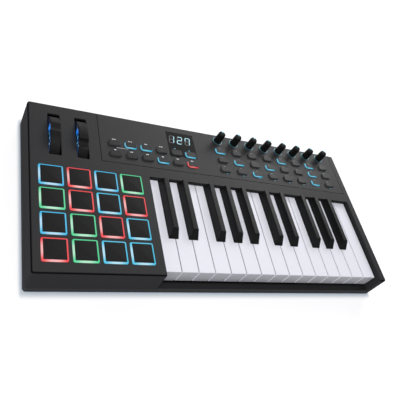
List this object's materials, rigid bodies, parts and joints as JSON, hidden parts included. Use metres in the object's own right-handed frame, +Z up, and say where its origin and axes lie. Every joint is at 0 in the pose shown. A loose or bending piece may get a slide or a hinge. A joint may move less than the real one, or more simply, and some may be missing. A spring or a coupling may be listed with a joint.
{
  "type": "midi keyboard",
  "caption": "Slab-shaped controller keyboard with a two-octave keybed, square lit pads, button rows, knobs, two side wheels and a small display.",
  "frame": {"origin": "middle of the footprint, on the surface the feet stand on", "axes": "+X along the keybed towards the high keys, +Y from the player to the rear sockets, +Z up"},
  "size_m": [0.52, 0.2434, 0.063],
  "materials": {
    "case_plastic": "fine-grained dark grey moulding",
    "panel_plastic": "fine-grained dark grey moulding",
    "window": "smoked polished acrylic",
    "chassis_plastic": "plain dark moulding",
    "spring_steel": "bright drawn wire",
    "contact_rubber": "matt silicone",
    "circuit_board": "green solder mask",
    "light_frame": "white reflector plastic",
    "socket_plastic": "black socket plastic",
    "feet_rubber": "matt black rubber",
    "screw_steel": "blackened steel",
    "white_key": "satin white with a cool cast",
    "black_key": "fine matt black",
    "knob_plastic": "soft matt black",
    "wheel_rubber": "soft matt rubber",
    "switch_plastic": "black",
    "pad_rubber": "soft black silicone with a lit translucent rim",
    "button_rubber": "soft black silicone with a lit translucent skirt"
  },
  "bodies": {
    "case": {"top_case": "case_plastic", "bottom_case": "case_plastic", "control_panel": "panel_plastic", "display_window": "window", "key_chassis": "chassis_plastic", "key_springs": "spring_steel", "contact_strip": "contact_rubber", "key_contact_board": "circuit_board", "control_board": "circuit_board", "pad_board": "circuit_board", "pad_light_frame": "light_frame", "wheel_cradle": "chassis_plastic", "jack_board": "socket_plastic", "rubber_feet": "feet_rubber", "case_screws": "screw_steel"},
    "white_key_01": {"white_key_01": "white_key"},
    "white_key_02": {"white_key_02": "white_key"},
    "white_key_03": {"white_key_03": "white_key"},
    "white_key_04": {"white_key_04": "white_key"},
    "white_key_05": {"white_key_05": "white_key"},
    "white_key_06": {"white_key_06": "white_key"},
    "white_key_07": {"white_key_07": "white_key"},
    "white_key_08": {"white_key_08": "white_key"},
    "white_key_09": {"white_key_09": "white_key"},
    "white_key_10": {"white_key_10": "white_key"},
    "white_key_11": {"white_key_11": "white_key"},
    "white_key_12": {"white_key_12": "white_key"},
    "white_key_13": {"white_key_13": "white_key"},
    "white_key_14": {"white_key_14": "white_key"},
    "white_key_15": {"white_key_15": "white_key"},
    "black_key_01": {"black_key_01": "black_key"},
    "black_key_02": {"black_key_02": "black_key"},
    "black_key_03": {"black_key_03": "black_key"},
    "black_key_04": {"black_key_04": "black_key"},
    "black_key_05": {"black_key_05": "black_key"},
    "black_key_06": {"black_key_06": "black_key"},
    "black_key_07": {"black_key_07": "black_key"},
    "black_key_08": {"black_key_08": "black_key"},
    "black_key_09": {"black_key_09": "black_key"},
    "black_key_10": {"black_key_10": "black_key"},
    "knob_1": {"knob_1": "knob_plastic"},
    "knob_2": {"knob_2": "knob_plastic"},
    "knob_3": {"knob_3": "knob_plastic"},
    "knob_4": {"knob_4": "knob_plastic"},
    "knob_5": {"knob_5": "knob_plastic"},
    "knob_6": {"knob_6": "knob_plastic"},
    "knob_7": {"knob_7": "knob_plastic"},
    "knob_8": {"knob_8": "knob_plastic"},
    "pitch_wheel": {"pitch_wheel": "wheel_rubber"},
    "mod_wheel": {"mod_wheel": "wheel_rubber"},
    "power_switch": {"power_switch": "switch_plastic"},
    "pad_row_1": {"pad_row_1": "pad_rubber"},
    "pad_row_2": {"pad_row_2": "pad_rubber"},
    "pad_row_3": {"pad_row_3": "pad_rubber"},
    "pad_row_4": {"pad_row_4": "pad_rubber"},
    "button_row_1": {"button_row_1": "button_rubber"},
    "button_row_2": {"button_row_2": "button_rubber"},
    "button_row_3": {"button_row_3": "button_rubber"},
    "button_row_4": {"button_row_4": "button_rubber"},
    "button_row_5": {"button_row_5": "button_rubber"}
  },
  "joints": [
    {"name": "white_key_01_press", "type": "hinge", "parent": "case", "child": "white_key_01", "pos_m": [0, 0.0763, 0.02445], "axis": [1, 0, 0], "range_deg": [0, 2.7], "stiffness_Nm_per_rad": 0.33, "springref_deg": -17.19},
    {"name": "white_key_02_press", "type": "hinge", "parent": "case", "child": "white_key_02", "pos_m": [0, 0.0763, 0.02445], "axis": [1, 0, 0], "range_deg": [0, 2.7], "stiffness_Nm_per_rad": 0.33, "springref_deg": -17.19},
    {"name": "white_key_03_press", "type": "hinge", "parent": "case", "child": "white_key_03", "pos_m": [0, 0.0763, 0.02445], "axis": [1, 0, 0], "range_deg": [0, 2.7], "stiffness_Nm_per_rad": 0.33, "springref_deg": -17.19},
    {"name": "white_key_04_press", "type": "hinge", "parent": "case", "child": "white_key_04", "pos_m": [0, 0.0763, 0.02445], "axis": [1, 0, 0], "range_deg": [0, 2.7], "stiffness_Nm_per_rad": 0.33, "springref_deg": -17.19},
    {"name": "white_key_05_press", "type": "hinge", "parent": "case", "child": "white_key_05", "pos_m": [0, 0.0763, 0.02445], "axis": [1, 0, 0], "range_deg": [0, 2.7], "stiffness_Nm_per_rad": 0.33, "springref_deg": -17.19},
    {"name": "white_key_06_press", "type": "hinge", "parent": "case", "child": "white_key_06", "pos_m": [0, 0.0763, 0.02445], "axis": [1, 0, 0], "range_deg": [0, 2.7], "stiffness_Nm_per_rad": 0.33, "springref_deg": -17.19},
    {"name": "white_key_07_press", "type": "hinge", "parent": "case", "child": "white_key_07", "pos_m": [0, 0.0763, 0.02445], "axis": [1, 0, 0], "range_deg": [0, 2.7], "stiffness_Nm_per_rad": 0.33, "springref_deg": -17.19},
    {"name": "white_key_08_press", "type": "hinge", "parent": "case", "child": "white_key_08", "pos_m": [0, 0.0763, 0.02445], "axis": [1, 0, 0], "range_deg": [0, 2.7], "stiffness_Nm_per_rad": 0.33, "springref_deg": -17.19},
    {"name": "white_key_09_press", "type": "hinge", "parent": "case", "child": "white_key_09", "pos_m": [0, 0.0763, 0.02445], "axis": [1, 0, 0], "range_deg": [0, 2.7], "stiffness_Nm_per_rad": 0.33, "springref_deg": -17.19},
    {"name": "white_key_10_press", "type": "hinge", "parent": "case", "child": "white_key_10", "pos_m": [0, 0.0763, 0.02445], "axis": [1, 0, 0], "range_deg": [0, 2.7], "stiffness_Nm_per_rad": 0.33, "springref_deg": -17.19},
    {"name": "white_key_11_press", "type": "hinge", "parent": "case", "child": "white_key_11", "pos_m": [0, 0.0763, 0.02445], "axis": [1, 0, 0], "range_deg": [0, 2.7], "stiffness_Nm_per_rad": 0.33, "springref_deg": -17.19},
    {"name": "white_key_12_press", "type": "hinge", "parent": "case", "child": "white_key_12", "pos_m": [0, 0.0763, 0.02445], "axis": [1, 0, 0], "range_deg": [0, 2.7], "stiffness_Nm_per_rad": 0.33, "springref_deg": -17.19},
    {"name": "white_key_13_press", "type": "hinge", "parent": "case", "child": "white_key_13", "pos_m": [0, 0.0763, 0.02445], "axis": [1, 0, 0], "range_deg": [0, 2.7], "stiffness_Nm_per_rad": 0.33, "springref_deg": -17.19},
    {"name": "white_key_14_press", "type": "hinge", "parent": "case", "child": "white_key_14", "pos_m": [0, 0.0763, 0.02445], "axis": [1, 0, 0], "range_deg": [0, 2.7], "stiffness_Nm_per_rad": 0.33, "springref_deg": -17.19},
    {"name": "white_key_15_press", "type": "hinge", "parent": "case", "child": "white_key_15", "pos_m": [0, 0.0763, 0.02445], "axis": [1, 0, 0], "range_deg": [0, 2.7], "stiffness_Nm_per_rad": 0.33, "springref_deg": -17.19},
    {"name": "black_key_01_press", "type": "hinge", "parent": "case", "child": "black_key_01", "pos_m": [0, 0.0763, 0.02445], "axis": [1, 0, 0], "range_deg": [0, 2.7], "stiffness_Nm_per_rad": 0.33, "springref_deg": -17.19},
    {"name": "black_key_02_press", "type": "hinge", "parent": "case", "child": "black_key_02", "pos_m": [0, 0.0763, 0.02445], "axis": [1, 0, 0], "range_deg": [0, 2.7], "stiffness_Nm_per_rad": 0.33, "springref_deg": -17.19},
    {"name": "black_key_03_press", "type": "hinge", "parent": "case", "child": "black_key_03", "pos_m": [0, 0.0763, 0.02445], "axis": [1, 0, 0], "range_deg": [0, 2.7], "stiffness_Nm_per_rad": 0.33, "springref_deg": -17.19},
    {"name": "black_key_04_press", "type": "hinge", "parent": "case", "child": "black_key_04", "pos_m": [0, 0.0763, 0.02445], "axis": [1, 0, 0], "range_deg": [0, 2.7], "stiffness_Nm_per_rad": 0.33, "springref_deg": -17.19},
    {"name": "black_key_05_press", "type": "hinge", "parent": "case", "child": "black_key_05", "pos_m": [0, 0.0763, 0.02445], "axis": [1, 0, 0], "range_deg": [0, 2.7], "stiffness_Nm_per_rad": 0.33, "springref_deg": -17.19},
    {"name": "black_key_06_press", "type": "hinge", "parent": "case", "child": "black_key_06", "pos_m": [0, 0.0763, 0.02445], "axis": [1, 0, 0], "range_deg": [0, 2.7], "stiffness_Nm_per_rad": 0.33, "springref_deg": -17.19},
    {"name": "black_key_07_press", "type": "hinge", "parent": "case", "child": "black_key_07", "pos_m": [0, 0.0763, 0.02445], "axis": [1, 0, 0], "range_deg": [0, 2.7], "stiffness_Nm_per_rad": 0.33, "springref_deg": -17.19},
    {"name": "black_key_08_press", "type": "hinge", "parent": "case", "child": "black_key_08", "pos_m": [0, 0.0763, 0.02445], "axis": [1, 0, 0], "range_deg": [0, 2.7], "stiffness_Nm_per_rad": 0.33, "springref_deg": -17.19},
    {"name": "black_key_09_press", "type": "hinge", "parent": "case", "child": "black_key_09", "pos_m": [0, 0.0763, 0.02445], "axis": [1, 0, 0], "range_deg": [0, 2.7], "stiffness_Nm_per_rad": 0.33, "springref_deg": -17.19},
    {"name": "black_key_10_press", "type": "hinge", "parent": "case", "child": "black_key_10", "pos_m": [0, 0.0763, 0.02445], "axis": [1, 0, 0], "range_deg": [0, 2.7], "stiffness_Nm_per_rad": 0.33, "springref_deg": -17.19},
    {"name": "pad_row_1_press", "type": "slide", "parent": "case", "child": "pad_row_1", "axis": [0, 0, -1], "range_m": [0, 0.001], "stiffness_N_per_m": 800, "springref_m": -0.002},
    {"name": "pad_row_2_press", "type": "slide", "parent": "case", "child": "pad_row_2", "axis": [0, 0, -1], "range_m": [0, 0.001], "stiffness_N_per_m": 800, "springref_m": -0.002},
    {"name": "pad_row_3_press", "type": "slide", "parent": "case", "child": "pad_row_3", "axis": [0, 0, -1], "range_m": [0, 0.001], "stiffness_N_per_m": 800, "springref_m": -0.002},
    {"name": "pad_row_4_press", "type": "slide", "parent": "case", "child": "pad_row_4", "axis": [0, 0, -1], "range_m": [0, 0.001], "stiffness_N_per_m": 800, "springref_m": -0.002},
    {"name": "button_row_1_press", "type": "slide", "parent": "case", "child": "button_row_1", "axis": [0, 0, -1], "range_m": [0, 0.001], "stiffness_N_per_m": 600, "springref_m": -0.002},
    {"name": "button_row_2_press", "type": "slide", "parent": "case", "child": "button_row_2", "axis": [0, 0, -1], "range_m": [0, 0.001], "stiffness_N_per_m": 600, "springref_m": -0.002},
    {"name": "button_row_3_press", "type": "slide", "parent": "case", "child": "button_row_3", "axis": [0, 0, -1], "range_m": [0, 0.001], "stiffness_N_per_m": 600, "springref_m": -0.002},
    {"name": "button_row_4_press", "type": "slide", "parent": "case", "child": "button_row_4", "axis": [0, 0, -1], "range_m": [0, 0.001], "stiffness_N_per_m": 600, "springref_m": -0.002},
    {"name": "button_row_5_press", "type": "slide", "parent": "case", "child": "button_row_5", "axis": [0, 0, -1], "range_m": [0, 0.001], "stiffness_N_per_m": 600, "springref_m": -0.002},
    {"name": "pitch_wheel_turn", "type": "hinge", "parent": "case", "child": "pitch_wheel", "pos_m": [0, 0.0724, 0.0121], "axis": [-1, 0, 0], "range_deg": [-25, 25], "stiffness_Nm_per_rad": 0.05},
    {"name": "mod_wheel_turn", "type": "hinge", "parent": "case", "child": "mod_wheel", "pos_m": [0, 0.0724, 0.0121], "axis": [-1, 0, 0], "range_deg": [0, 50]},
    {"name": "knob_1_turn", "type": "hinge", "parent": "case", "child": "knob_1", "pos_m": [0.0188, 0.1088, 0.0445], "axis": [0, 0, 1], "continuous": true},
    {"name": "knob_2_turn", "type": "hinge", "parent": "case", "child": "knob_2", "pos_m": [0.0477, 0.1088, 0.0445], "axis": [0, 0, 1], "continuous": true},
    {"name": "knob_3_turn", "type": "hinge", "parent": "case", "child": "knob_3", "pos_m": [0.0766, 0.1088, 0.0445], "axis": [0, 0, 1], "continuous": true},
    {"name": "knob_4_turn", "type": "hinge", "parent": "case", "child": "knob_4", "pos_m": [0.1055, 0.1088, 0.0445], "axis": [0, 0, 1], "continuous": true},
    {"name": "knob_5_turn", "type": "hinge", "parent": "case", "child": "knob_5", "pos_m": [0.1344, 0.1088, 0.0445], "axis": [0, 0, 1], "continuous": true},
    {"name": "knob_6_turn", "type": "hinge", "parent": "case", "child": "knob_6", "pos_m": [0.1633, 0.1088, 0.0445], "axis": [0, 0, 1], "continuous": true},
    {"name": "knob_7_turn", "type": "hinge", "parent": "case", "child": "knob_7", "pos_m": [0.1922, 0.1088, 0.0445], "axis": [0, 0, 1], "continuous": true},
    {"name": "knob_8_turn", "type": "hinge", "parent": "case", "child": "knob_8", "pos_m": [0.2211, 0.1088, 0.0445], "axis": [0, 0, 1], "continuous": true},
    {"name": "power_switch_slide", "type": "slide", "parent": "case", "child": "power_switch", "axis": [-1, 0, 0], "range_m": [0, 0.004]}
  ]
}
